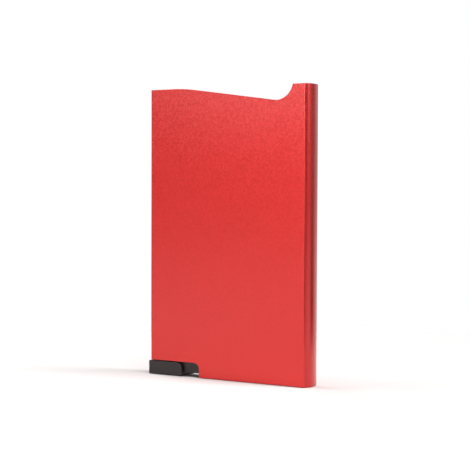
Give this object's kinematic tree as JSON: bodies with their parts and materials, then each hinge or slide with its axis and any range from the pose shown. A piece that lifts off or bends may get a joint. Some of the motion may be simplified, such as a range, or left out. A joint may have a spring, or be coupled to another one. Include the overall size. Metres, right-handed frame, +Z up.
{
  "type": "card holder",
  "caption": "Slim metal card case with a sloping mouth and a corner lever that fans the cards out of the top.",
  "frame": {"origin": "middle of the footprint of the upright case, on the surface that it stands on", "axes": "+Z up the case towards its mouth, -Y out of its front face, +X to the right seen from the front"},
  "size_m": [0.063, 0.008, 0.098],
  "materials": {
    "shell": "bead-blasted, anodised red",
    "base": "moulded, fine matt texture",
    "lever": "moulded, fine matt texture",
    "pin": "ground dowel",
    "strip": "soft extruded lips"
  },
  "bodies": {
    "case": {"shell": "shell", "base_front": "base", "base_rear": "base", "pivot_pin": "pin", "grip_strip_left": "strip", "grip_strip_right": "strip"},
    "lever": {"eject_lever": "lever"}
  },
  "joints": [
    {"name": "lever_swing", "type": "hinge", "parent": "case", "child": "lever", "pos_m": [-0.011, 0, 0.0075], "axis": [0, -1, 0], "range_deg": [0, 50]}
  ]
}
